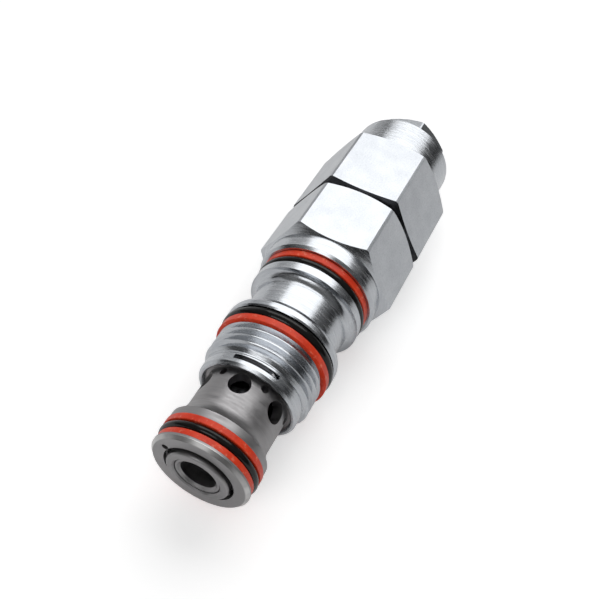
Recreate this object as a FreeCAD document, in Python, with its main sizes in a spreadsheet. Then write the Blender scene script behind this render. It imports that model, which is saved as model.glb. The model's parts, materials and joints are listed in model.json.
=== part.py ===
import FreeCAD, Part
import math
import os
from types import SimpleNamespace

import Sketcher

# Screw-in cartridge valve. The valve's axis is the X axis: its nose points to -X, its cap to +X.
# It lies on a flat of its hexagon, so +Z is up. X = 0 is the port block's face, under the lower hexagon.
# An angle around the axis is counted from +Z, right-handed about +X.

DIMENSIONS = {
    # hexagons of the body and of the bonnet
    "hex_across_flats": 30.0,
    "hex_corner_radius": 17.1,
    "hex_start": -1.15,
    "hex_joint_position": 17.2,
    "hex_joint_radius": 13.6,
    "steep_chamfer_slope": 0.577,
    "shallow_chamfer_slope": 0.268,
    "bonnet_hex_turn": -0.5,
    # body, outside
    "land_radius": 14.6,
    "land_chamfer": 0.6,
    "flange_radius": 13.5,
    "flange_start": -11.5,
    "flange_groove_start": -9.4,
    "flange_groove_end": -5.4,
    "flange_groove_radius": 11.5,
    "waist_radius": 11.3,
    "waist_blend_radius": 2.1,
    "collar_lip_radius": 13.7,
    "collar_lip_end": -20.8,
    "collar_lip_rounding": 1.9,
    "collar_groove_start": -28.0,
    "collar_groove_end": -23.9,
    "collar_groove_radius": 11.35,
    "thread_major_radius": 12.7,
    "thread_minor_radius": 11.57,
    "thread_pitch": 1.814,
    "thread_start": -35.6,
    "thread_lead": 0.9,
    "skirt_radius": 11.7,
    "skirt_end": -39.0,
    "skirt_bore_radius": 10.4,
    "skirt_bore_end": -30.0,
    "edge_break": 0.3,
    # body, inside
    "small_bore_radius": 6.0,
    "large_bore_start": -18.0,
    "large_bore_radius": 7.5,
    "spring_room_start": -3.0,
    "spring_room_radius": 8.8,
    "bonnet_socket_start": 4.0,
    "bonnet_socket_radius": 11.6,
    "pilot_hole_position": -16.2,
    "pilot_hole_radius": 1.25,
    # retaining wire and its slot
    "wire_position": -36.9,
    "wire_radius": 0.5,
    "wire_ring_radius": 10.15,
    "wire_ring_sweep": 301.0,
    "wire_bend_start": 32.4,
    "wire_bend_radius": 1.3,
    "wire_bend_sweep": 25.0,
    "wire_tip_length": 2.0,
    "wire_groove_radius": 10.75,
    "slot_half_width": 0.62,
    "slot_start": -22.5,
    "slot_sweep": 52.5,
    # bonnet
    "bonnet_hex_end": 39.0,
    "cap_radius": 13.1,
    "cap_end": 49.6,
    "cap_chamfer": 0.4,
    "boss_radius": 9.0,
    "boss_end": 51.0,
    "bonnet_room_radius": 8.6,
    "bonnet_room_end": 41.0,
    "spigot_clearance": 0.05,
    "spigot_gap": 0.2,
    "bonnet_groove_start": 12.2,
    "bonnet_groove_end": 13.9,
    "bonnet_groove_radius": 10.2,
    "screw_hole_radius": 5.05,
    # sleeve
    "nose_face": -58.5,
    "nose_radius": 11.15,
    "nose_chamfer": 0.7,
    "nose_groove_start": -57.3,
    "nose_groove_end": -52.4,
    "nose_groove_radius": 9.6,
    "nose_cone_start": -50.6,
    "nose_cone_end": -48.7,
    "nose_blend_radius": 5.2,
    "neck_radius": 9.5,
    "sleeve_head_start": -38.1,
    "sleeve_head_radius": 10.35,
    "sleeve_end": -30.4,
    "sleeve_bore_radius": 7.95,
    "sleeve_flow_radius": 7.0,
    "sleeve_wire_groove_radius": 9.6,
    "sleeve_wire_groove_half_width": 0.65,
    "snap_groove_start": -57.65,
    "snap_groove_end": -56.5,
    "snap_groove_radius": 8.5,
    "port_hole_position": -41.5,
    "port_hole_radius": 2.4,
    "port_hole_turn": -4.0,
    "port_hole_count": 6,
    "damping_hole_position": -39.6,
    "damping_hole_radius": 0.85,
    "notch_radius": 0.75,
    "notch_offset": 8.6,
    "notch_turn": -60.5,
    "notch_depth": 1.2,
    # seals
    "collar_o_ring_section": 1.17,
    "flange_o_ring_section": 1.07,
    "nose_o_ring_section": 0.87,
    "piston_o_ring_section": 0.7,
    "bonnet_o_ring_section": 0.67,
    "screw_o_ring_section": 0.5,
    "collar_backup_radius": 13.45,
    "flange_backup_radius": 13.45,
    "nose_front_backup_radius": 10.98,
    "nose_rear_backup_radius": 11.32,
    "collar_backup_width": 1.7,
    "flange_backup_width": 1.8,
    "nose_backup_width": 1.5,
    "piston_backup_width": 1.1,
    "backup_edge_break": 0.1,
    "seal_gap": 0.03,
    # nose keeper, snap ring, check seat
    "keeper_end": -59.4,
    "keeper_radius": 7.1,
    "keeper_rounding": 0.65,
    "keeper_bore_radius": 5.25,
    "keeper_flange_radius": 7.85,
    "keeper_flange_width": 1.3,
    "snap_ring_section": 0.5,
    "snap_ring_sweep": 322.0,
    "seat_end": -59.0,
    "seat_tube_radius": 5.15,
    "seat_hole_radius": 4.05,
    "seat_head_start": -48.6,
    "seat_face": -44.5,
    "seat_head_radius": 7.88,
    "seat_chamfer": 0.35,
    "seat_mouth_chamfer": 0.5,
    # springs
    "check_spring_radius": 6.5,
    "check_spring_wire_radius": 0.55,
    "check_spring_pitch": 2.0,
    "main_spring_radius": 6.5,
    "main_spring_wire_radius": 1.4,
    "main_spring_pitch": 4.3,
    "spring_gap": 0.05,
    # piston and spring pads
    "piston_tip_radius": 2.8,
    "piston_stem_radius": 5.2,
    "piston_cone_slope": 1.5,
    "piston_seat_gap": 0.05,
    "piston_guide_start": -31.0,
    "piston_guide_radius": 5.96,
    "piston_groove_start": -27.5,
    "piston_groove_end": -23.8,
    "piston_groove_radius": 4.55,
    "piston_land_start": -11.0,
    "piston_land_radius": 7.46,
    "piston_end": -2.6,
    "pad_radius": 8.3,
    "pad_boss_radius": 4.7,
    "pad_boss_length": 3.5,
    "lower_pad_end": 0.0,
    "upper_pad_start": 29.0,
    "upper_pad_end": 33.0,
    # adjusting screw and lock nut
    "screw_radius": 5.0,
    "screw_root_radius": 4.2,
    "screw_pitch": 1.5,
    "screw_end": 62.0,
    "screw_collar_radius": 7.0,
    "screw_collar_end": 36.0,
    "screw_groove_start": 45.4,
    "screw_groove_end": 46.6,
    "screw_groove_radius": 4.0,
    "screw_thread_start": 53.0,
    "socket_across_flats": 5.0,
    "socket_depth": 5.0,
    "nut_across_flats": 17.0,
    "nut_corner_radius": 9.7,
    "nut_height": 6.0,
    "nut_face_radius": 8.1,
    "nut_turn": 42.0,
}


class Size:
    """A length with the sheet expression that gives it, so that a feature can be bound to the sheet."""

    def __init__(self, value, text):
        self.value = value
        self.text = text

    def _join(self, sign, other, value):
        right = other.text if isinstance(other, Size) else str(other)
        return Size(value, f"({self.text} {sign} {right})")

    def __add__(self, other):
        return self._join("+", other, self.value + number(other))

    def __sub__(self, other):
        return self._join("-", other, self.value - number(other))

    def __mul__(self, other):
        return self._join("*", other, self.value * number(other))

    def __truediv__(self, other):
        return self._join("/", other, self.value / number(other))

    def __neg__(self):
        return Size(-self.value, f"(-1 * {self.text})")


def number(size):
    """The plain value of a Size or of a number."""
    return size.value if isinstance(size, Size) else float(size)


doc = FreeCAD.newDocument("cartridge_valve")
sheet = doc.addObject("Spreadsheet::Sheet", "dims")
for row, (name, value) in enumerate(DIMENSIONS.items(), start=1):
    sheet.set(f"A{row}", name)
    sheet.set(f"B{row}", str(value))
    sheet.setAlias(f"B{row}", name)
doc.recompute()
d = SimpleNamespace(**{name: Size(value, f"dims.{name}") for name, value in DIMENSIONS.items()})

SUB_PARTS = []
AXIS_X = FreeCAD.Vector(1, 0, 0)
AXIS_Z = FreeCAD.Vector(0, 0, 1)
OUTSIDE = 25.0  # a radius beyond everything, for cuts from outside
MARGIN = 1.0  # how far a cut runs past the metal it removes
CUTTER_LIFT = 0.15  # how far a thread's cutter stands above the crests
ON_AXIS = Size(0.0, "0")


def sub_part(thing, label):
    """Gives a finished sub-part its label, which also names its file."""
    thing.Label = label
    SUB_PARTS.append(thing)
    return thing


def bind(thing, name, size):
    """Sets a property and binds it to the sheet."""
    if isinstance(size, Size):
        thing.setExpression(name, size.text)
    else:
        setattr(thing, name, size)


def origin_feature(body, role):
    """One of a body's own origin planes or axes."""
    return next(f for f in body.Origin.OriginFeatures if f.Role == role)


def new_sketch(body, name, plane="XY_Plane", turn=0.0, shift=0.0):
    """A sketch on an origin plane: XY turned about X, or YZ shifted along X and turned about X."""
    sketch = body.newObject("Sketcher::SketchObject", name)
    sketch.AttachmentSupport = [(origin_feature(body, plane), "")]
    sketch.MapMode = "FlatFace"
    axis = AXIS_X if plane == "XY_Plane" else AXIS_Z
    base = FreeCAD.Vector(0, 0, number(shift))
    sketch.AttachmentOffset = FreeCAD.Placement(base, FreeCAD.Rotation(axis, number(turn)))
    if isinstance(shift, Size):
        sketch.setExpression("AttachmentOffset.Base.z", shift.text)
    return sketch


def pin_point(sketch, geometry, end, across, up):
    """Holds a point of the sketch at its two coordinates, both bound to the sheet."""
    for kind, size in (("DistanceX", across), ("DistanceY", up)):
        rule = Sketcher.Constraint(kind, -1, 1, geometry, end, number(size))
        index = sketch.addConstraint(rule)
        if isinstance(size, Size):
            sketch.setExpression(f"Constraints[{index}]", size.text)


def draw_outline(sketch, points):
    """A closed outline of straight lines through points, each given as two sizes."""
    corners = [FreeCAD.Vector(number(x), number(y), 0) for x, y in points]
    count = len(points)
    for i in range(count):
        sketch.addGeometry(Part.LineSegment(corners[i], corners[(i + 1) % count]), False)
    for i in range(count):
        sketch.addConstraint(Sketcher.Constraint("Coincident", i, 2, (i + 1) % count, 1))
        pin_point(sketch, i, 1, *points[i])


def draw_circle(sketch, across, up, radius):
    """A circle with its centre and radius bound to the sheet."""
    centre = FreeCAD.Vector(number(across), number(up), 0)
    circle = sketch.addGeometry(Part.Circle(centre, AXIS_Z, number(radius)), False)
    pin_point(sketch, circle, 3, across, up)
    index = sketch.addConstraint(Sketcher.Constraint("Radius", circle, number(radius)))
    sketch.setExpression(f"Constraints[{index}]", radius.text)


def volume(body):
    """The body's volume after a recompute, or 0 while it is empty."""
    doc.recompute()
    return 0.0 if body.Shape.isNull() else body.Shape.Volume


def check_cut(body, before, name):
    """Stops if a cut removed nothing."""
    if volume(body) > before - 1e-4:
        raise RuntimeError(f"{name} cuts nothing")


def new_body(name):
    """An empty PartDesign body."""
    return doc.addObject("PartDesign::Body", name)


def revolve(body, name, points):
    """Turns an outline of (position along X, radius) points about the valve's axis."""
    sketch = new_sketch(body, f"{name}_outline")
    draw_outline(sketch, points)
    feature = body.newObject("PartDesign::Revolution", name)
    feature.Profile = sketch
    feature.ReferenceAxis = (sketch, ["H_Axis"])
    feature.Angle = 360.0
    sketch.Visibility = False
    doc.recompute()
    return feature


def groove(body, name, points, turn=0.0, sweep=360.0):
    """Cuts an outline turned about the valve's axis, all round or over a sweep from a start angle."""
    before = volume(body)
    sketch = new_sketch(body, f"{name}_outline", turn=turn)
    draw_outline(sketch, points)
    feature = body.newObject("PartDesign::Groove", name)
    feature.Profile = sketch
    feature.ReferenceAxis = (sketch, ["H_Axis"])
    bind(feature, "Angle", sweep)
    check_cut(body, before, name)
    return feature


def hex_points(across_flats):
    """The six corners of a hexagon with two flats level."""
    corner = across_flats / math.sqrt(3.0)
    angles = [math.radians(60 * i) for i in range(6)]
    return [(corner * round(math.cos(a), 6), corner * round(math.sin(a), 6)) for a in angles]


def hex_prism(body, name, across_flats, start, end, turn=0.0):
    """A hexagonal prism along the valve's axis."""
    sketch = new_sketch(body, f"{name}_outline", "YZ_Plane", turn, start)
    draw_outline(sketch, hex_points(across_flats))
    feature = body.newObject("PartDesign::Pad", name)
    feature.Profile = sketch
    bind(feature, "Length", end - start)
    doc.recompute()
    return feature


def side_hole(body, name, position, radius, turn, depth, count=1):
    """A round hole square to the axis, at an angle around it, repeated evenly around the axis."""
    before = volume(body)
    sketch = new_sketch(body, f"{name}_outline", turn=turn)
    draw_circle(sketch, position, ON_AXIS, radius)
    pocket = body.newObject("PartDesign::Pocket", name)
    pocket.Profile = sketch
    pocket.Length = depth
    pocket.Reversed = True
    check_cut(body, before, name)
    if count == 1:
        return
    before = volume(body)
    pattern = body.newObject("PartDesign::PolarPattern", f"{name}_pattern")
    pattern.Originals = [pocket]
    pattern.Axis = (origin_feature(body, "X_Axis"), [""])
    pattern.Angle = 360.0
    pattern.Occurrences = count
    body.Tip = pattern
    check_cut(body, before, pattern.Name)


def screw_thread(body, name, start, length, major, minor, pitch):
    """Cuts a right-handed V thread into a turned cylinder."""
    before = volume(body)
    root = pitch / 8
    flank = (pitch - root) / 2
    slope = (flank.value - root.value) / (major.value - minor.value)
    reach = flank + CUTTER_LIFT * slope
    outline = [
        (start - reach, major + CUTTER_LIFT),
        (start - root, minor),
        (start + root, minor),
        (start + reach, major + CUTTER_LIFT),
    ]
    sketch = new_sketch(body, f"{name}_outline")
    draw_outline(sketch, outline)
    helix = body.newObject("PartDesign::SubtractiveHelix", name)
    helix.Profile = sketch
    helix.ReferenceAxis = (sketch, ["H_Axis"])
    helix.Mode = "pitch-height-angle"
    bind(helix, "Pitch", pitch)
    bind(helix, "Height", length)
    check_cut(body, before, name)


def edge_at(body, position, radius):
    """The name of the round edge at a position and a radius."""
    for index, edge in enumerate(body.Shape.Edges, start=1):
        curve = edge.Curve
        if not isinstance(curve, Part.Circle):
            continue
        if abs(curve.Center.x - position.value) < 0.01 and abs(curve.Radius - radius.value) < 0.01:
            return f"Edge{index}"
    raise RuntimeError(f"no round edge at {position.value}, {radius.value}")


def blend(body, name, position, radius, size):
    """Rounds the edge at a position and a radius."""
    doc.recompute()
    base = body.Tip
    edge = edge_at(body, position, radius)
    fillet = body.newObject("PartDesign::Fillet", name)
    fillet.Base = (base, [edge])
    bind(fillet, "Radius", size)
    body.Tip = fillet
    doc.recompute()


def ring(label, position, mean_radius, section, sweep=None, turn=0.0):
    """A ring of round section about the valve's axis: an O-ring, or with a sweep, a wire snap ring."""
    torus = doc.addObject("Part::Torus", label)
    bind(torus, "Radius1", mean_radius)
    bind(torus, "Radius2", section)
    if sweep is not None:
        bind(torus, "Angle3", sweep)
    upright = FreeCAD.Rotation(FreeCAD.Vector(0, 1, 0), 90)
    torus.Placement = FreeCAD.Placement(FreeCAD.Vector(0, 0, 0), FreeCAD.Rotation(AXIS_X, turn) * upright)
    torus.setExpression("Placement.Base.x", position.text)
    return sub_part(torus, label)


def backup_outline(start, end, inner, outer):
    """A flat ring's section with its two outer corners broken."""
    return [
        (start, inner),
        (start, outer - d.backup_edge_break),
        (start + d.backup_edge_break, outer),
        (end - d.backup_edge_break, outer),
        (end, outer - d.backup_edge_break),
        (end, inner),
    ]


def backup_ring(label, start, end, groove_radius, outer):
    """A backup ring that fills its part of a seal groove, clear of the walls by the seal gap."""
    body = new_body(label)
    inner = groove_radius + d.seal_gap
    revolve(body, f"{label}_section", backup_outline(start + d.seal_gap, end - d.seal_gap, inner, outer))
    return sub_part(body, label)


def coil_spring(label, start, end, mean_radius, wire_radius, pitch):
    """A coil spring between two faces, clear of them by the spring gap."""
    body = new_body(label)
    inset = wire_radius + d.spring_gap
    sketch = new_sketch(body, f"{label}_section")
    draw_circle(sketch, start + inset, mean_radius, wire_radius)
    helix = body.newObject("PartDesign::AdditiveHelix", f"{label}_coil")
    helix.Profile = sketch
    helix.ReferenceAxis = (sketch, ["H_Axis"])
    helix.Mode = "pitch-height-angle"
    bind(helix, "Pitch", pitch)
    bind(helix, "Height", end - start - inset * 2)
    return sub_part(body, label)


def make_hex_body():
    """The body: hexagon, sealing land, flange, waist, collar, thread and slotted skirt."""
    body = new_body("hex_body")
    chamfer = d.edge_break * 2
    revolve(body, "body_turning", [
        (d.skirt_end, d.skirt_bore_radius + d.edge_break),
        (d.skirt_end, d.skirt_radius - chamfer),
        (d.skirt_end + chamfer, d.skirt_radius),
        (d.thread_start, d.skirt_radius),
        (d.thread_start + d.thread_lead, d.thread_major_radius),
        (d.collar_groove_start - d.edge_break, d.thread_major_radius),
        (d.collar_groove_start, d.thread_major_radius - d.edge_break),
        (d.collar_groove_start, d.collar_groove_radius),
        (d.collar_groove_end, d.collar_groove_radius),
        (d.collar_groove_end, d.collar_lip_radius - d.edge_break),
        (d.collar_groove_end + d.edge_break, d.collar_lip_radius),
        (d.collar_lip_end, d.collar_lip_radius),
        (d.collar_lip_end, d.waist_radius),
        (d.flange_start, d.waist_radius),
        (d.flange_start, d.flange_radius),
        (d.flange_groove_start, d.flange_radius),
        (d.flange_groove_start, d.flange_groove_radius),
        (d.flange_groove_end, d.flange_groove_radius),
        (d.flange_groove_end, d.land_radius - d.land_chamfer),
        (d.flange_groove_end + d.land_chamfer, d.land_radius),
        (d.hex_start + MARGIN, d.land_radius),
        (d.hex_start + MARGIN, d.small_bore_radius),
        (d.skirt_bore_end, d.small_bore_radius),
        (d.skirt_bore_end, d.skirt_bore_radius),
        (d.skirt_end + d.edge_break, d.skirt_bore_radius),
    ])
    blend(body, "waist_blend", d.flange_start, d.waist_radius, d.waist_blend_radius)
    blend(body, "lip_rounding", d.collar_lip_end, d.collar_lip_radius, d.collar_lip_rounding)
    hex_prism(body, "body_hexagon", d.hex_across_flats, d.hex_start, d.hex_joint_position)
    corner = d.hex_corner_radius
    groove(body, "hexagon_chamfers", [
        (d.hex_start - MARGIN, d.land_radius),
        (d.hex_start, d.land_radius),
        (d.hex_start + (corner - d.land_radius) * d.steep_chamfer_slope, corner),
        (d.hex_joint_position - (corner - d.hex_joint_radius) * d.steep_chamfer_slope, corner),
        (d.hex_joint_position, d.hex_joint_radius),
        (d.hex_joint_position + MARGIN, d.hex_joint_radius),
        (d.hex_joint_position + MARGIN, OUTSIDE),
        (d.hex_start - MARGIN, OUTSIDE),
    ])
    groove(body, "body_bores", [
        (d.skirt_bore_end - MARGIN, ON_AXIS),
        (d.skirt_bore_end - MARGIN, d.small_bore_radius),
        (d.large_bore_start, d.small_bore_radius),
        (d.large_bore_start, d.large_bore_radius),
        (d.spring_room_start, d.large_bore_radius),
        (d.spring_room_start, d.spring_room_radius),
        (d.bonnet_socket_start, d.spring_room_radius),
        (d.bonnet_socket_start, d.bonnet_socket_radius),
        (d.hex_joint_position + MARGIN, d.bonnet_socket_radius),
        (d.hex_joint_position + MARGIN, ON_AXIS),
    ])
    screw_thread(
        body,
        "body_thread",
        d.thread_start - MARGIN,
        d.collar_groove_start - d.thread_start + MARGIN * 2,
        d.thread_major_radius,
        d.thread_minor_radius,
        d.thread_pitch,
    )
    half = d.slot_half_width
    groove(body, "wire_groove", [
        (d.wire_position - half, d.skirt_bore_radius - d.edge_break),
        (d.wire_position - half, d.wire_groove_radius),
        (d.wire_position + half, d.wire_groove_radius),
        (d.wire_position + half, d.skirt_bore_radius - d.edge_break),
    ])
    groove(body, "wire_slot", [
        (d.wire_position - half, d.skirt_bore_radius - d.edge_break),
        (d.wire_position - half, d.skirt_radius + MARGIN),
        (d.wire_position + half, d.skirt_radius + MARGIN),
        (d.wire_position + half, d.skirt_bore_radius - d.edge_break),
    ], turn=90 + d.slot_start.value, sweep=d.slot_sweep)
    side_hole(body, "pilot_hole", d.pilot_hole_position, d.pilot_hole_radius, 180.0, OUTSIDE)
    return sub_part(body, "hex_body")


def make_bonnet():
    """The bonnet: spigot with a seal groove, upper hexagon, round cap and nut boss."""
    body = new_body("bonnet")
    spigot = d.bonnet_socket_radius - d.spigot_clearance
    start = d.bonnet_socket_start + d.spigot_gap
    revolve(body, "bonnet_turning", [
        (start, d.bonnet_room_radius),
        (start, spigot - d.edge_break),
        (start + d.edge_break, spigot),
        (d.bonnet_groove_start, spigot),
        (d.bonnet_groove_start, d.bonnet_groove_radius),
        (d.bonnet_groove_end, d.bonnet_groove_radius),
        (d.bonnet_groove_end, spigot),
        (d.hex_joint_position, spigot),
        (d.hex_joint_position, d.cap_radius),
        (d.cap_end - d.cap_chamfer, d.cap_radius),
        (d.cap_end, d.cap_radius - d.cap_chamfer),
        (d.cap_end, d.boss_radius),
        (d.boss_end, d.boss_radius),
        (d.boss_end, d.screw_hole_radius),
        (d.bonnet_room_end, d.screw_hole_radius),
        (d.bonnet_room_end, d.bonnet_room_radius),
    ])
    hex_prism(
        body, "bonnet_hexagon", d.hex_across_flats, d.hex_joint_position, d.bonnet_hex_end, d.bonnet_hex_turn
    )
    corner = d.hex_corner_radius
    groove(body, "bonnet_hexagon_chamfers", [
        (d.hex_joint_position - MARGIN, d.hex_joint_radius),
        (d.hex_joint_position, d.hex_joint_radius),
        (d.hex_joint_position + (corner - d.hex_joint_radius) * d.shallow_chamfer_slope, corner),
        (d.bonnet_hex_end - (corner - d.cap_radius) * d.steep_chamfer_slope, corner),
        (d.bonnet_hex_end, d.cap_radius),
        (d.bonnet_hex_end + MARGIN, d.cap_radius),
        (d.bonnet_hex_end + MARGIN, OUTSIDE),
        (d.hex_joint_position - MARGIN, OUTSIDE),
    ])
    groove(body, "bonnet_room", [
        (d.hex_joint_position - MARGIN, ON_AXIS),
        (d.hex_joint_position - MARGIN, d.bonnet_room_radius),
        (d.bonnet_room_end, d.bonnet_room_radius),
        (d.bonnet_room_end, ON_AXIS),
    ])
    return sub_part(body, "bonnet")


def make_sleeve():
    """The floating sleeve: nose with its seal groove, neck with cross holes, head with the wire groove."""
    body = new_body("sleeve")
    half = d.sleeve_wire_groove_half_width
    revolve(body, "sleeve_turning", [
        (d.nose_face, d.sleeve_bore_radius),
        (d.nose_face, d.nose_radius - d.nose_chamfer),
        (d.nose_face + d.nose_chamfer, d.nose_radius),
        (d.nose_groove_start, d.nose_radius),
        (d.nose_groove_start, d.nose_groove_radius),
        (d.nose_groove_end, d.nose_groove_radius),
        (d.nose_groove_end, d.nose_radius),
        (d.nose_cone_start, d.nose_radius),
        (d.nose_cone_end, d.neck_radius),
        (d.sleeve_head_start, d.neck_radius),
        (d.sleeve_head_start, d.sleeve_head_radius),
        (d.wire_position - half, d.sleeve_head_radius),
        (d.wire_position - half, d.sleeve_wire_groove_radius),
        (d.wire_position + half, d.sleeve_wire_groove_radius),
        (d.wire_position + half, d.sleeve_head_radius),
        (d.sleeve_end, d.sleeve_head_radius),
        (d.sleeve_end, d.sleeve_flow_radius),
        (d.seat_face + d.seal_gap, d.sleeve_flow_radius),
        (d.seat_face + d.seal_gap, d.sleeve_bore_radius),
        (d.snap_groove_end, d.sleeve_bore_radius),
        (d.snap_groove_end, d.snap_groove_radius),
        (d.snap_groove_start, d.snap_groove_radius),
        (d.snap_groove_start, d.sleeve_bore_radius),
    ])
    blend(body, "neck_blend", d.nose_cone_end, d.neck_radius, d.nose_blend_radius)
    count = int(d.port_hole_count.value)
    turn = d.port_hole_turn.value
    half_step = 180.0 / count
    side_hole(body, "port_holes", d.port_hole_position, d.port_hole_radius, turn, OUTSIDE, count)
    side_hole(
        body, "damping_holes", d.damping_hole_position, d.damping_hole_radius, turn + half_step, OUTSIDE, count
    )
    before = volume(body)
    sketch = new_sketch(body, "notch_outline", "YZ_Plane", d.notch_turn, d.nose_face)
    draw_circle(sketch, ON_AXIS, d.notch_offset, d.notch_radius)
    pocket = body.newObject("PartDesign::Pocket", "snap_ring_notch")
    pocket.Profile = sketch
    bind(pocket, "Length", d.notch_depth)
    pocket.Reversed = True
    check_cut(body, before, "snap_ring_notch")
    return sub_part(body, "sleeve")


def make_retaining_wire():
    """The wire ring that holds the sleeve, with one end bent out into the skirt's slot."""
    body = new_body("retaining_wire")
    radius = d.wire_ring_radius
    bend = d.wire_bend_radius
    start = math.radians(90 + d.wire_bend_start.value)
    end = start + math.radians(d.wire_ring_sweep.value)
    bend_start = start + math.pi
    bend_end = bend_start + math.radians(d.wire_bend_sweep.value)
    outward = FreeCAD.Vector(math.cos(start), math.sin(start), 0)
    bend_centre = outward * (radius.value + bend.value)
    tip_start = bend_centre + FreeCAD.Vector(math.cos(bend_end), math.sin(bend_end), 0) * bend.value
    tip_direction = FreeCAD.Vector(-math.sin(bend_end), math.cos(bend_end), 0)
    tip_end = tip_start + tip_direction * d.wire_tip_length.value
    path = new_sketch(body, "wire_path", "YZ_Plane", 0.0, d.wire_position)
    ring_circle = Part.Circle(FreeCAD.Vector(0, 0, 0), AXIS_Z, radius.value)
    bend_circle = Part.Circle(bend_centre, AXIS_Z, bend.value)
    ring_arc = path.addGeometry(Part.ArcOfCircle(ring_circle, start, end), False)
    bend_arc = path.addGeometry(Part.ArcOfCircle(bend_circle, bend_start, bend_end), False)
    tip = path.addGeometry(Part.LineSegment(tip_start, tip_end), False)
    path.addConstraint(Sketcher.Constraint("Coincident", ring_arc, 3, -1, 1))
    path.addConstraint(Sketcher.Constraint("Tangent", ring_arc, 1, bend_arc, 1))
    path.addConstraint(Sketcher.Constraint("Tangent", bend_arc, 2, tip, 1))
    for kind, geometry, size in (
        ("Radius", ring_arc, radius),
        ("Radius", bend_arc, bend),
        ("Distance", tip, d.wire_tip_length),
    ):
        index = path.addConstraint(Sketcher.Constraint(kind, geometry, size.value))
        path.setExpression(f"Constraints[{index}]", size.text)
    section = new_sketch(body, "wire_section", turn=math.degrees(end))
    draw_circle(section, d.wire_position, radius, d.wire_radius)
    pipe = body.newObject("PartDesign::AdditivePipe", "wire_bend")
    pipe.Profile = section
    pipe.Spine = path
    doc.recompute()
    return sub_part(body, "retaining_wire")


def make_body_seals():
    """The seal groups of the collar and of the flange, and the bonnet's O-ring."""
    split = d.collar_groove_start + d.collar_backup_width
    backup_ring(
        "collar_backup_ring", d.collar_groove_start, split, d.collar_groove_radius, d.collar_backup_radius
    )
    ring(
        "collar_o_ring",
        (split + d.collar_groove_end) / 2,
        d.collar_groove_radius + d.seal_gap + d.collar_o_ring_section,
        d.collar_o_ring_section,
    )
    split = d.flange_groove_end - d.flange_backup_width
    backup_ring(
        "flange_backup_ring", split, d.flange_groove_end, d.flange_groove_radius, d.flange_backup_radius
    )
    ring(
        "flange_o_ring",
        (split + d.flange_groove_start) / 2,
        d.flange_groove_radius + d.seal_gap + d.flange_o_ring_section,
        d.flange_o_ring_section,
    )
    ring(
        "bonnet_o_ring",
        (d.bonnet_groove_start + d.bonnet_groove_end) / 2,
        d.bonnet_groove_radius + d.seal_gap + d.bonnet_o_ring_section,
        d.bonnet_o_ring_section,
    )


def make_nose_seals():
    """The sleeve's O-ring between its two backup rings."""
    front = d.nose_groove_start + d.nose_backup_width
    rear = d.nose_groove_end - d.nose_backup_width
    for label, start, end, radius in (
        ("nose_backup_ring_front", d.nose_groove_start, front, d.nose_front_backup_radius),
        ("nose_backup_ring_rear", rear, d.nose_groove_end, d.nose_rear_backup_radius),
    ):
        backup_ring(label, start, end, d.nose_groove_radius, radius)
    ring(
        "nose_o_ring",
        (front + rear) / 2,
        d.nose_groove_radius + d.seal_gap + d.nose_o_ring_section,
        d.nose_o_ring_section,
    )


def make_check_valve():
    """The check seat with its spring, keeper and snap ring, all inside the sleeve's nose."""
    keeper = new_body("nose_keeper")
    flange_start = d.snap_groove_end + d.seal_gap
    flange_end = flange_start + d.keeper_flange_width
    revolve(keeper, "keeper_turning", [
        (d.keeper_end, d.keeper_bore_radius + d.edge_break),
        (d.keeper_end, d.keeper_radius),
        (flange_start, d.keeper_radius),
        (flange_start, d.keeper_flange_radius),
        (flange_end, d.keeper_flange_radius),
        (flange_end, d.keeper_bore_radius),
        (d.keeper_end + d.edge_break, d.keeper_bore_radius),
    ])
    blend(keeper, "keeper_rim", d.keeper_end, d.keeper_radius, d.keeper_rounding)
    sub_part(keeper, "nose_keeper")

    ring(
        "snap_ring",
        (d.snap_groove_start + d.snap_groove_end) / 2,
        d.snap_groove_radius - d.snap_ring_section - d.seal_gap,
        d.snap_ring_section,
        d.snap_ring_sweep,
        turn=d.notch_turn.value,
    )

    seat = new_body("check_seat")
    revolve(seat, "seat_turning", [
        (d.seat_end, d.seat_hole_radius + d.seat_mouth_chamfer),
        (d.seat_end, d.seat_tube_radius - d.edge_break / 2),
        (d.seat_end + d.edge_break / 2, d.seat_tube_radius),
        (d.seat_head_start, d.seat_tube_radius),
        (d.seat_head_start, d.seat_head_radius),
        (d.seat_face - d.seat_chamfer, d.seat_head_radius),
        (d.seat_face, d.seat_head_radius - d.seat_chamfer),
        (d.seat_face, d.seat_hole_radius),
        (d.seat_end + d.seat_mouth_chamfer, d.seat_hole_radius),
    ])
    sub_part(seat, "check_seat")

    coil_spring(
        "check_spring",
        flange_end,
        d.seat_head_start,
        d.check_spring_radius,
        d.check_spring_wire_radius,
        d.check_spring_pitch,
    )


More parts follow.
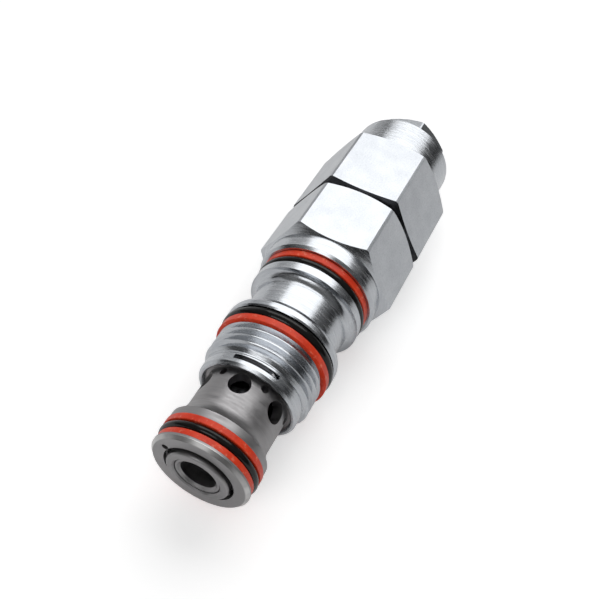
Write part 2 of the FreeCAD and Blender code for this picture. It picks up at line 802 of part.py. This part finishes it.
def make_piston():
    """The relief piston with its seals: a cone on the check seat, a sealed guide and the pilot land."""
    body = new_body("piston")
    slope = d.piston_cone_slope
    seat_radius = d.seat_hole_radius - d.piston_seat_gap
    revolve(body, "piston_turning", [
        (d.seat_face - (seat_radius - d.piston_tip_radius) / slope, ON_AXIS),
        (d.seat_face - (seat_radius - d.piston_tip_radius) / slope, d.piston_tip_radius),
        (d.seat_face + (d.piston_stem_radius - seat_radius) / slope, d.piston_stem_radius),
        (d.piston_guide_start, d.piston_stem_radius),
        (d.piston_guide_start + d.edge_break, d.piston_guide_radius),
        (d.piston_groove_start, d.piston_guide_radius),
        (d.piston_groove_start, d.piston_groove_radius),
        (d.piston_groove_end, d.piston_groove_radius),
        (d.piston_groove_end, d.piston_guide_radius),
        (d.piston_land_start, d.piston_guide_radius),
        (d.piston_land_start, d.piston_land_radius),
        (d.piston_end, d.piston_land_radius),
        (d.piston_end, ON_AXIS),
    ])
    sub_part(body, "piston")

    front = d.piston_groove_start + d.piston_backup_width
    rear = d.piston_groove_end - d.piston_backup_width
    rings = []
    inner = d.piston_groove_radius + d.seal_gap
    for label, start, end in (
        ("piston_backup_front", d.piston_groove_start, front),
        ("piston_backup_rear", rear, d.piston_groove_end),
    ):
        flat = new_body(label)
        outline = backup_outline(start + d.seal_gap, end - d.seal_gap, inner, d.piston_guide_radius)
        revolve(flat, f"{label}_section", outline)
        rings.append(flat)
    pair = doc.addObject("Part::Compound", "piston_backup_rings")
    pair.Links = rings
    sub_part(pair, "piston_backup_rings")
    ring(
        "piston_o_ring",
        (front + rear) / 2,
        inner + d.piston_o_ring_section,
        d.piston_o_ring_section,
    )


def make_spring_pads():
    """The two pads that hold the main spring, and the spring itself."""
    boss_radius = d.pad_boss_radius
    lower = new_body("lower_spring_pad")
    revolve(lower, "lower_pad_turning", [
        (d.piston_end, ON_AXIS),
        (d.piston_end, d.pad_radius),
        (d.lower_pad_end, d.pad_radius),
        (d.lower_pad_end, boss_radius),
        (d.lower_pad_end + d.pad_boss_length, boss_radius),
        (d.lower_pad_end + d.pad_boss_length, ON_AXIS),
    ])
    sub_part(lower, "lower_spring_pad")

    upper = new_body("upper_spring_pad")
    revolve(upper, "upper_pad_turning", [
        (d.upper_pad_start - d.pad_boss_length, ON_AXIS),
        (d.upper_pad_start - d.pad_boss_length, boss_radius),
        (d.upper_pad_start, boss_radius),
        (d.upper_pad_start, d.pad_radius),
        (d.upper_pad_end, d.pad_radius),
        (d.upper_pad_end, ON_AXIS),
    ])
    sub_part(upper, "upper_spring_pad")

    coil_spring(
        "main_spring",
        d.lower_pad_end,
        d.upper_pad_start,
        d.main_spring_radius,
        d.main_spring_wire_radius,
        d.main_spring_pitch,
    )


def make_adjusting_screw():
    """The adjusting screw with its collar, seal, thread and hexagon socket."""
    body = new_body("adjusting_screw")
    start = d.upper_pad_end + d.seal_gap
    revolve(body, "screw_turning", [
        (start, ON_AXIS),
        (start, d.screw_collar_radius),
        (d.screw_collar_end, d.screw_collar_radius),
        (d.screw_collar_end, d.screw_radius),
        (d.screw_groove_start, d.screw_radius),
        (d.screw_groove_start, d.screw_groove_radius),
        (d.screw_groove_end, d.screw_groove_radius),
        (d.screw_groove_end, d.screw_radius),
        (d.screw_end - d.edge_break * 2, d.screw_radius),
        (d.screw_end, d.screw_radius - d.edge_break * 2),
        (d.screw_end, ON_AXIS),
    ])
    screw_thread(
        body,
        "screw_thread",
        d.screw_thread_start,
        d.screw_end - d.screw_thread_start + MARGIN,
        d.screw_radius,
        d.screw_root_radius,
        d.screw_pitch,
    )
    before = volume(body)
    sketch = new_sketch(body, "socket_outline", "YZ_Plane", 0.0, d.screw_end)
    draw_outline(sketch, hex_points(d.socket_across_flats))
    pocket = body.newObject("PartDesign::Pocket", "hexagon_socket")
    pocket.Profile = sketch
    bind(pocket, "Length", d.socket_depth)
    check_cut(body, before, "hexagon_socket")
    sub_part(body, "adjusting_screw")

    ring(
        "screw_o_ring",
        (d.screw_groove_start + d.screw_groove_end) / 2,
        d.screw_groove_radius + d.seal_gap / 2 + d.screw_o_ring_section,
        d.screw_o_ring_section,
    )


def make_lock_nut():
    """The hexagon nut that locks the adjusting screw, chamfered on both faces."""
    body = new_body("lock_nut")
    start = d.boss_end
    end = d.boss_end + d.nut_height
    hex_prism(body, "nut_hexagon", d.nut_across_flats, start, end, d.nut_turn)
    corner = d.nut_corner_radius
    chamfer = (corner - d.nut_face_radius) * d.steep_chamfer_slope
    groove(body, "nut_chamfers", [
        (start - MARGIN, d.nut_face_radius),
        (start, d.nut_face_radius),
        (start + chamfer, corner),
        (end - chamfer, corner),
        (end, d.nut_face_radius),
        (end + MARGIN, d.nut_face_radius),
        (end + MARGIN, OUTSIDE),
        (start - MARGIN, OUTSIDE),
    ])
    hole = d.screw_hole_radius
    groove(body, "nut_hole", [
        (start - MARGIN, ON_AXIS),
        (start - MARGIN, hole),
        (end - d.edge_break * 2, hole),
        (end, hole + d.edge_break * 2),
        (end + MARGIN, hole + d.edge_break * 2),
        (end + MARGIN, ON_AXIS),
    ])
    return sub_part(body, "lock_nut")


def check_and_export():
    """Stops at any failed object or bad shape, and then writes each sub-part to its own file."""
    doc.recompute()
    failed = [thing.Name for thing in doc.Objects if {"Invalid", "Error"} & set(thing.State)]
    if failed:
        raise RuntimeError(f"failed objects: {failed}")
    for thing in SUB_PARTS:
        if thing.Shape.isNull() or not thing.Shape.isValid():
            raise RuntimeError(f"bad shape: {thing.Label}")
    os.makedirs("parts", exist_ok=True)
    for thing in SUB_PARTS:
        thing.Shape.exportStep(f"parts/{thing.Label}.step")
        box = thing.Shape.BoundBox
        print(
            f"{thing.Label}: volume {thing.Shape.Volume:.1f}, solids {len(thing.Shape.Solids)},"
            f" x {box.XMin:.2f} to {box.XMax:.2f}, z {box.ZMin:.2f} to {box.ZMax:.2f}"
        )


make_hex_body()
make_bonnet()
make_sleeve()
make_retaining_wire()
make_body_seals()
make_nose_seals()
make_check_valve()
make_piston()
make_spring_pads()
make_adjusting_screw()
make_lock_nut()
check_and_export()
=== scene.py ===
"""A screw-in hydraulic cartridge valve: its finishes, the studio and the camera, around the CAD frame."""

import json
import math

import bpy
from mathutils import Matrix, Vector


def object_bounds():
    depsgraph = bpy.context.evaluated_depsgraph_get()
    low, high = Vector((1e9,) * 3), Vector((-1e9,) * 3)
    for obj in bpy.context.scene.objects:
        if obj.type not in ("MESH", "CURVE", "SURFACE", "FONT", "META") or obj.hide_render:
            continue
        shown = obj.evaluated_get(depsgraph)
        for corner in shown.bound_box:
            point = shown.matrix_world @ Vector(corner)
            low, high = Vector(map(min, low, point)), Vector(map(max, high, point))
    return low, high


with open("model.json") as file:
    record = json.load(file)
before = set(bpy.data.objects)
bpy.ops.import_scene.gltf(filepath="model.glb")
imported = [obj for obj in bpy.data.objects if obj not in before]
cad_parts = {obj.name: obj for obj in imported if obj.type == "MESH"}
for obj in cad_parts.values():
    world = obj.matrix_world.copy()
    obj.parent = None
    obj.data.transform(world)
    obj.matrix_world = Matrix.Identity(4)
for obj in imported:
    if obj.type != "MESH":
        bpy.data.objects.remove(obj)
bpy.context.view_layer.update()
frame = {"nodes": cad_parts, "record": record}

MM = 0.001

# Stretches of the valve's axis, in millimetres from the origin: the nose is at -X and the cap at +X.
HEXAGON_FLATS = (-1.0, 38.9)
NUT_FLATS = (51.0, 57.0)
HEXAGON_GAP = (17.0, 21.5)
NOSE_RIM = (-58.45, -57.75)
NOWHERE = (900.0, 901.0)

# Over this span of radii, in millimetres, the nose's painted rim highlight fades in.
NOSE_RIM_RADII = (10.35, 10.6)

# How far a face's normal leans along the axis where it stops being a flat, and where it is a chamfer.
FLAT_LEAN = (0.02, 0.1)
CHAMFER_LEAN = (0.3, 0.5)

# Painted highlight: the pale colour of the nose's rim, and the rim's roughness.
PAINTED_RIM_HIGHLIGHT = (0.60, 0.595, 0.59, 1.0)
RIM_ROUGHNESS = 0.3
# Painted shade: near black for the chamfers in the gap between the two hexagons.
PAINTED_GAP_SHADE = (0.02, 0.02, 0.022, 1.0)
RUBBER_DARK = (0.003, 0.003, 0.003, 1.0)
RUBBER_PALE = (0.010, 0.009, 0.008, 1.0)
ORANGE_DEEP = (0.64, 0.034, 0.009, 1.0)
ORANGE_BRIGHT = (0.84, 0.065, 0.018, 1.0)
# Painted highlight: the pale orange of the patches scattered over the backup rings.
ORANGE_HIGHLIGHT = (0.95, 0.36, 0.24, 1.0)
SPRING_PALE = (0.20, 0.19, 0.19, 1.0)
SPRING_DARK = (0.08, 0.08, 0.085, 1.0)
WIRE_PALE = (0.88, 0.88, 0.90, 1.0)
WIRE_DARK = (0.66, 0.66, 0.68, 1.0)
TABLE_DARK = (0.88, 0.88, 0.88, 1.0)
TABLE_PALE = (0.92, 0.92, 0.92, 1.0)
BACKDROP = (0.85, 0.85, 0.86, 1.0)
WHITE = (1.0, 1.0, 1.0, 1.0)

# The photograph's camera: where it looks, from where, how it is rolled, and its lens.
CAMERA_AIM = Vector((-15.5, -0.15, 8.84)) * MM
CAMERA_AZIMUTH = math.radians(-71.5)
CAMERA_ELEVATION = math.radians(50.7)
CAMERA_DISTANCE = 185.65 * MM
CAMERA_UP = Vector((0.6685, 0.4052, 0.6236))
CAMERA_LENS_MM = 51.0
CAMERA_SENSOR_MM = 36.0
CAMERA_SEES = (0.01, 20.0)

FLOOR_SIDE = 6.0

# The table's own light, in radiance, from near the valve to far from it (distances in millimetres).
TABLE_GLOW_DISTANCES = (70.0, 420.0)
TABLE_GLOW = (0.42, 0.2)
TABLE_GLOW_IN_REFLECTIONS = 0.1

# The room's brightness in reflections, from low down to higher up (heights are of the ray's direction).
ROOM_HEIGHTS = (0.15, 0.55)
ROOM_BRIGHTNESS = (0.015, 0.16)

# Each lamp: direction from the valve; distance, width and height in metres; radiance; seen in reflections.
LAMPS = {
    "overhead": ((0.60, 0.06, 0.79), 0.9, 1.15, 0.75, 1.85, True),
    "left_fill": ((0.45, 0.88, 0.22), 1.0, 0.9, 0.7, 0.45, True),
    "front_key": ((-0.77, 0.20, 0.60), 1.0, 0.45, 0.45, 2.0, True),
    "front_fill": ((-0.60, -0.20, 0.77), 1.0, 0.8, 0.8, 1.4, False),
}


class Finish:
    """A material's node tree, with short calls for the nodes that the finishes share."""

    def __init__(self, name, **constants):
        self.material = bpy.data.materials.new(name)
        self.material.use_nodes = True
        self.tree = self.material.node_tree
        self.shader = self.tree.nodes["Principled BSDF"]
        for socket, value in constants.items():
            self.shader.inputs[socket.replace("_", " ")].default_value = value
        place = self.tree.nodes.new("ShaderNodeTexCoord")
        self.place = self.in_millimetres(place.outputs["Object"])
        self.x, self.y, self.z = self.split(self.place)
        self.lean = self.math("ABSOLUTE", self.split(place.outputs["Normal"])[0])
        squares = (self.math("MULTIPLY", side, side) for side in (self.y, self.z))
        self.radius = self.math("SQRT", self.math("ADD", *squares))

    def feed(self, socket, value):
        """Links a socket to another, or sets its number or colour."""
        if isinstance(value, bpy.types.NodeSocket):
            self.tree.links.new(value, socket)
        else:
            socket.default_value = value

    def node(self, kind, **inputs):
        node = self.tree.nodes.new(kind)
        for name, value in inputs.items():
            self.feed(node.inputs[name.replace("_", " ")], value)
        return node

    def set(self, **sockets):
        """Feeds the shader's sockets, and returns the finished material."""
        for name, value in sockets.items():
            self.feed(self.shader.inputs[name.replace("_", " ")], value)
        return self.material

    def math(self, operation, a, b=0.0):
        node = self.tree.nodes.new("ShaderNodeMath")
        node.operation = operation
        self.feed(node.inputs[0], a)
        self.feed(node.inputs[1], b)
        return node.outputs[0]

    def product(self, *factors):
        result = factors[0]
        for factor in factors[1:]:
            result = self.math("MULTIPLY", result, factor)
        return result

    def vector_node(self, operation, *vectors):
        node = self.tree.nodes.new("ShaderNodeVectorMath")
        node.operation = operation
        for socket, vector in zip(node.inputs, vectors):
            self.feed(socket, vector)
        return node

    def in_millimetres(self, vector):
        node = self.vector_node("SCALE", vector)
        node.inputs["Scale"].default_value = 1 / MM
        return node.outputs[0]

    def distance(self):
        """The distance from the origin, in millimetres."""
        return self.vector_node("LENGTH", self.place).outputs["Value"]

    def split(self, vector):
        return self.node("ShaderNodeSeparateXYZ", Vector=vector).outputs

    def ramp(self, value, given, result):
        """Maps one span of numbers onto another, and stays at its ends outside it."""
        node = self.node("ShaderNodeMapRange", Value=value)
        for name, number in zip(("From Min", "From Max", "To Min", "To Max"), (*given, *result)):
            self.feed(node.inputs[name], number)
        return node.outputs[0]

    def between(self, value, span, soft):
        """1 where the value lies in the span, falling to 0 over soft on each side of it."""
        low, high = span
        rise = self.ramp(value, (low - soft, low), (0.0, 1.0))
        fall = self.ramp(value, (high, high + soft), (1.0, 0.0))
        return self.product(rise, fall)

    def mix(self, factor, a, b):
        """A colour between a and b."""
        node = self.tree.nodes.new("ShaderNodeMix")
        node.data_type = "RGBA"
        self.feed(node.inputs[0], factor)
        self.feed(node.inputs[6], a)
        self.feed(node.inputs[7], b)
        return node.outputs[2]

    def blend(self, factor, a, b):
        """A number between a and b."""
        node = self.tree.nodes.new("ShaderNodeMix")
        self.feed(node.inputs[0], factor)
        self.feed(node.inputs[2], a)
        self.feed(node.inputs[3], b)
        return node.outputs[0]

    def noise(self, scale, detail, roughness=0.5, vector=None):
        """Noise with about scale lumps per millimetre."""
        place = self.place if vector is None else vector
        node = self.node("ShaderNodeTexNoise", Vector=place, Scale=scale, Detail=detail, Roughness=roughness)
        return node.outputs[0]

    def around(self, lines_per_mm, drift):
        """Lathe lines: noise that changes fast along the axis and slowly around it."""
        stretched = self.node(
            "ShaderNodeCombineXYZ",
            X=self.product(self.x, lines_per_mm),
            Y=self.product(self.y, drift),
            Z=self.product(self.z, drift),
        )
        return self.noise(1.0, detail=3.0, roughness=0.65, vector=stretched.outputs[0])

    def bump(self, height, depth_mm):
        return self.node("ShaderNodeBump", Height=height, Strength=1.0, Distance=depth_mm * MM).outputs[0]

    def tool_direction(self):
        """Scratches of a lathe run around the valve's axis."""
        position = self.tree.nodes.new("ShaderNodeNewGeometry").outputs["Position"]
        return self.vector_node("CROSS_PRODUCT", (1.0, 0.0, 0.0), position).outputs[0]


def turned_metal(
    name, light, dark, turned_rough, flat_rough=0.4, line_depth=0.006, grain_depth=0.02,
    flats=NOWHERE, highlight_rim=NOWHERE,
):
    """A lathe-turned metal with milled flats, a painted highlight on a rim between places on the axis, and
    painted shade in the gap between the hexagons.
    """
    f = Finish(name, Metallic=1.0, Anisotropic=0.35, IOR=2.2)
    lines = f.around(lines_per_mm=3.2, drift=0.10)
    passes = f.around(lines_per_mm=1.5, drift=0.20)
    grain = f.noise(2.6, detail=4.0, roughness=0.75)
    cloud = f.noise(0.22, detail=3.0)
    speckle = f.ramp(f.noise(3.4, detail=3.0), (0.56, 0.70), (0.0, 1.0))

    flat = f.product(f.ramp(f.lean, FLAT_LEAN, (1.0, 0.0)), f.between(f.x, flats, soft=0.05))
    # Painted highlight: the nose's rim is made paler in patches all the way around.
    rim = f.product(
        f.between(f.x, highlight_rim, soft=0.1),
        f.ramp(cloud, (0.35, 0.6), (0.4, 1.0)),
        f.ramp(f.radius, NOSE_RIM_RADII, (0.0, 1.0)),
    )
    # Painted shade: the chamfers in the gap between the two hexagons are darkened to near black.
    painted_gap_shade = f.product(
        f.ramp(f.lean, CHAMFER_LEAN, (0.0, 1.0)),
        f.between(f.x, HEXAGON_GAP, soft=0.2),
        f.ramp(cloud, (0.3, 0.6), (0.85, 0.97)),
    )

    tone = f.blend(flat, f.blend(0.55, lines, passes), f.blend(0.35, grain, cloud))
    colour = f.mix(f.ramp(tone, (0.34, 0.66), (0.0, 1.0)), dark, light)
    colour = f.mix(f.product(flat, speckle, 0.6), colour, dark)
    colour = f.mix(rim, colour, PAINTED_RIM_HIGHLIGHT)
    colour = f.mix(painted_gap_shade, colour, PAINTED_GAP_SHADE)
    turned = f.ramp(passes, (0.3, 0.7), (turned_rough * 0.7, turned_rough * 1.4))
    milled = f.ramp(grain, (0.25, 0.75), (flat_rough * 0.85, flat_rough * 1.15))
    turned_height = f.math("ADD", f.product(lines, line_depth), f.product(passes, line_depth * 1.6))
    return f.set(
        Base_Color=colour,
        Roughness=f.blend(rim, f.blend(flat, turned, milled), RIM_ROUGHNESS),
        Normal=f.bump(f.blend(flat, turned_height, f.product(grain, grain_depth)), depth_mm=1.0),
        Tangent=f.tool_direction(),
    )


def zinc_plate(name, flats):
    """Bright zinc plate over turned and milled steel."""
    return turned_metal(
        name,
        light=(0.62, 0.64, 0.665, 1.0),
        dark=(0.44, 0.46, 0.49, 1.0),
        turned_rough=0.22,
        flat_rough=0.30,
        line_depth=0.022,
        grain_depth=0.016,
        flats=flats,
    )


def ground_steel(name):
    """Unplated, ground and hardened steel, with a painted highlight on the nose's rim."""
    return turned_metal(
        name,
        light=(0.40, 0.39, 0.395, 1.0),
        dark=(0.30, 0.295, 0.30, 1.0),
        turned_rough=0.42,
        highlight_rim=NOSE_RIM,
    )


def hidden_steel(name):
    """Hardened steel inside the valve."""
    return turned_metal(name, light=(0.30, 0.30, 0.32, 1.0), dark=(0.20, 0.20, 0.22, 1.0), turned_rough=0.30)


def black_oxide(name):
    """Blackened screw steel."""
    return turned_metal(name, light=(0.13, 0.13, 0.14, 1.0), dark=(0.06, 0.06, 0.065, 1.0), turned_rough=0.38)


def drawn_wire(name, pale, dark, roughness):
    """Drawn wire, with fine pits and cloudy patches."""
    f = Finish(name, Metallic=1.0)
    cloud = f.noise(1.2, detail=4.0)
    pits = f.noise(14.0, detail=2.0)
    return f.set(
        Base_Color=f.mix(f.ramp(cloud, (0.35, 0.65), (0.0, 1.0)), dark, pale),
        Roughness=f.ramp(cloud, (0.3, 0.7), (roughness * 0.8, roughness * 1.3)),
        Normal=f.bump(pits, depth_mm=0.006),
    )


def oiled_rubber(name):
    """Moulded black nitrile with a film of oil."""
    f = Finish(name, Coat_Weight=0.7, Coat_Roughness=0.04, Coat_IOR=1.45, Specular_IOR_Level=0.05)
    cloud = f.noise(0.9, detail=3.0)
    wet = f.bump(f.noise(2.2, detail=3.0), depth_mm=0.03)
    return f.set(
        Base_Color=f.mix(cloud, RUBBER_DARK, RUBBER_PALE),
        Roughness=f.ramp(cloud, (0.3, 0.7), (0.25, 0.40)),
        Normal=wet,
        Coat_Normal=wet,
    )


def orange_polymer(name):
    """Orange-red backup ring polymer: faintly mottled, with paler patches of painted highlight and turning
    lines.
    """
    f = Finish(name, Specular_IOR_Level=0.35, Subsurface_Weight=0.05, Subsurface_Scale=0.0004)
    f.shader.inputs["Subsurface Radius"].default_value = (1.0, 0.3, 0.2)
    cloud = f.noise(0.35, detail=4.0, roughness=0.6)
    # Painted highlight: paler patches scattered over the rings.
    painted_highlights = f.ramp(f.noise(0.75, detail=5.0, roughness=0.75), (0.56, 0.66), (0.0, 1.0))
    colour = f.mix(f.ramp(cloud, (0.3, 0.7), (0.0, 1.0)), ORANGE_DEEP, ORANGE_BRIGHT)
    return f.set(
        Base_Color=f.mix(f.product(painted_highlights, 0.45), colour, ORANGE_HIGHLIGHT),
        Roughness=f.ramp(cloud, (0.3, 0.7), (0.32, 0.48)),
        Normal=f.bump(f.around(lines_per_mm=4.0, drift=0.3), depth_mm=0.012),
    )


def dress_nodes():
    """Gives every CAD node the finish of its record slot."""
    finishes = {
        "zinc_plated_steel": zinc_plate("zinc_plate", HEXAGON_FLATS),
        "sleeve_steel": ground_steel("ground_steel"),
        "hardened_steel": hidden_steel("hidden_steel"),
        "dark_screw_steel": black_oxide("black_oxide"),
        "dark_spring_steel": drawn_wire("spring_wire", SPRING_PALE, SPRING_DARK, roughness=0.32),
        "bright_wire": drawn_wire("bright_wire", WIRE_PALE, WIRE_DARK, roughness=0.22),
        "black_rubber": oiled_rubber("oiled_rubber"),
        "orange_backup": orange_polymer("orange_polymer"),
    }
    nut_zinc = zinc_plate("nut_zinc_plate", NUT_FLATS)
    for part in frame["record"]["subparts"]:
        finish = nut_zinc if part["node"] == "lock_nut" else finishes[part["material_slot"]]
        for slot in frame["nodes"][part["node"]].material_slots:
            slot.material = finish


def make_camera():
    """The photograph's viewpoint."""
    data = bpy.data.cameras.new("camera")
    data.lens = CAMERA_LENS_MM
    data.sensor_width = CAMERA_SENSOR_MM
    data.clip_start, data.clip_end = CAMERA_SEES
    camera = bpy.data.objects.new("camera", data)
    bpy.context.scene.collection.objects.link(camera)
    back = Vector((
        math.sin(CAMERA_AZIMUTH) * math.cos(CAMERA_ELEVATION),
        -math.cos(CAMERA_AZIMUTH) * math.cos(CAMERA_ELEVATION),
        math.sin(CAMERA_ELEVATION),
    ))
    right = CAMERA_UP.cross(back).normalized()
    up = back.cross(right)
    turn = Matrix((right, up, back)).transposed()
    camera.matrix_world = Matrix.Translation(CAMERA_AIM + back * CAMERA_DISTANCE) @ turn.to_4x4()
    bpy.context.scene.camera = camera


def make_floor():
    """A plain pale table that the valve lies on, which glows faintly and less so in reflections."""
    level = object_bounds()[0].z
    half = FLOOR_SIDE / 2
    corners = [(-half, -half, level), (half, -half, level), (half, half, level), (-half, half, level)]
    mesh = bpy.data.meshes.new("floor")
    mesh.from_pydata(corners, [], [(0, 1, 2, 3)])
    floor = bpy.data.objects.new("floor", mesh)
    bpy.context.scene.collection.objects.link(floor)
    f = Finish("pale_table", Roughness=0.9, Specular_IOR_Level=0.1)
    seen = f.node("ShaderNodeLightPath").outputs["Is Camera Ray"]
    f.set(
        Base_Color=f.mix(f.noise(0.08, detail=3.0), TABLE_DARK, TABLE_PALE),
        Emission_Color=WHITE,
        Emission_Strength=f.product(
            f.ramp(seen, (0.0, 1.0), (TABLE_GLOW_IN_REFLECTIONS, 1.0)),
            f.ramp(f.distance(), TABLE_GLOW_DISTANCES, TABLE_GLOW),
        ),
    )
    mesh.materials.append(f.material)


def softbox(name, direction, distance, width, height, radiance, in_reflections):
    """A rectangular lamp that faces the valve, as bright as a surface of the given radiance."""
    data = bpy.data.lights.new(name, "AREA")
    data.shape = "RECTANGLE"
    data.size = width
    data.size_y = height
    data.energy = radiance * math.pi * width * height
    lamp = bpy.data.objects.new(name, data)
    bpy.context.scene.collection.objects.link(lamp)
    away = Vector(direction).normalized()
    across = Vector((0.0, 1.0, 0.0))
    across = (across - away * across.dot(away)).normalized()
    turn = Matrix((across, away.cross(across), away)).transposed()
    lamp.matrix_world = Matrix.Translation(away * distance) @ turn.to_4x4()
    lamp.visible_glossy = in_reflections


def make_room():
    """A dark room that is paler higher up, with a pale backdrop that only the camera sees."""
    world = bpy.data.worlds.new("room")
    world.use_nodes = True
    tree = world.node_tree
    place = tree.nodes.new("ShaderNodeTexCoord")
    height = tree.nodes.new("ShaderNodeSeparateXYZ")
    walls = tree.nodes.new("ShaderNodeMapRange")
    for name, number in zip(("From Min", "From Max", "To Min", "To Max"), (*ROOM_HEIGHTS, *ROOM_BRIGHTNESS)):
        walls.inputs[name].default_value = number
    rays = tree.nodes.new("ShaderNodeLightPath")
    shade = tree.nodes.new("ShaderNodeMix")
    shade.data_type = "RGBA"
    shade.inputs[7].default_value = BACKDROP
    tree.links.new(place.outputs["Generated"], height.inputs[0])
    tree.links.new(height.outputs["Z"], walls.inputs["Value"])
    tree.links.new(rays.outputs["Is Camera Ray"], shade.inputs[0])
    tree.links.new(walls.outputs[0], shade.inputs[6])
    tree.links.new(shade.outputs[2], tree.nodes["Background"].inputs["Color"])
    bpy.context.scene.world = world
    bpy.context.scene.view_settings.view_transform = "Standard"


dress_nodes()
make_floor()
make_room()
for lamp_name, lamp_facts in LAMPS.items():
    softbox(lamp_name, *lamp_facts)
make_camera()
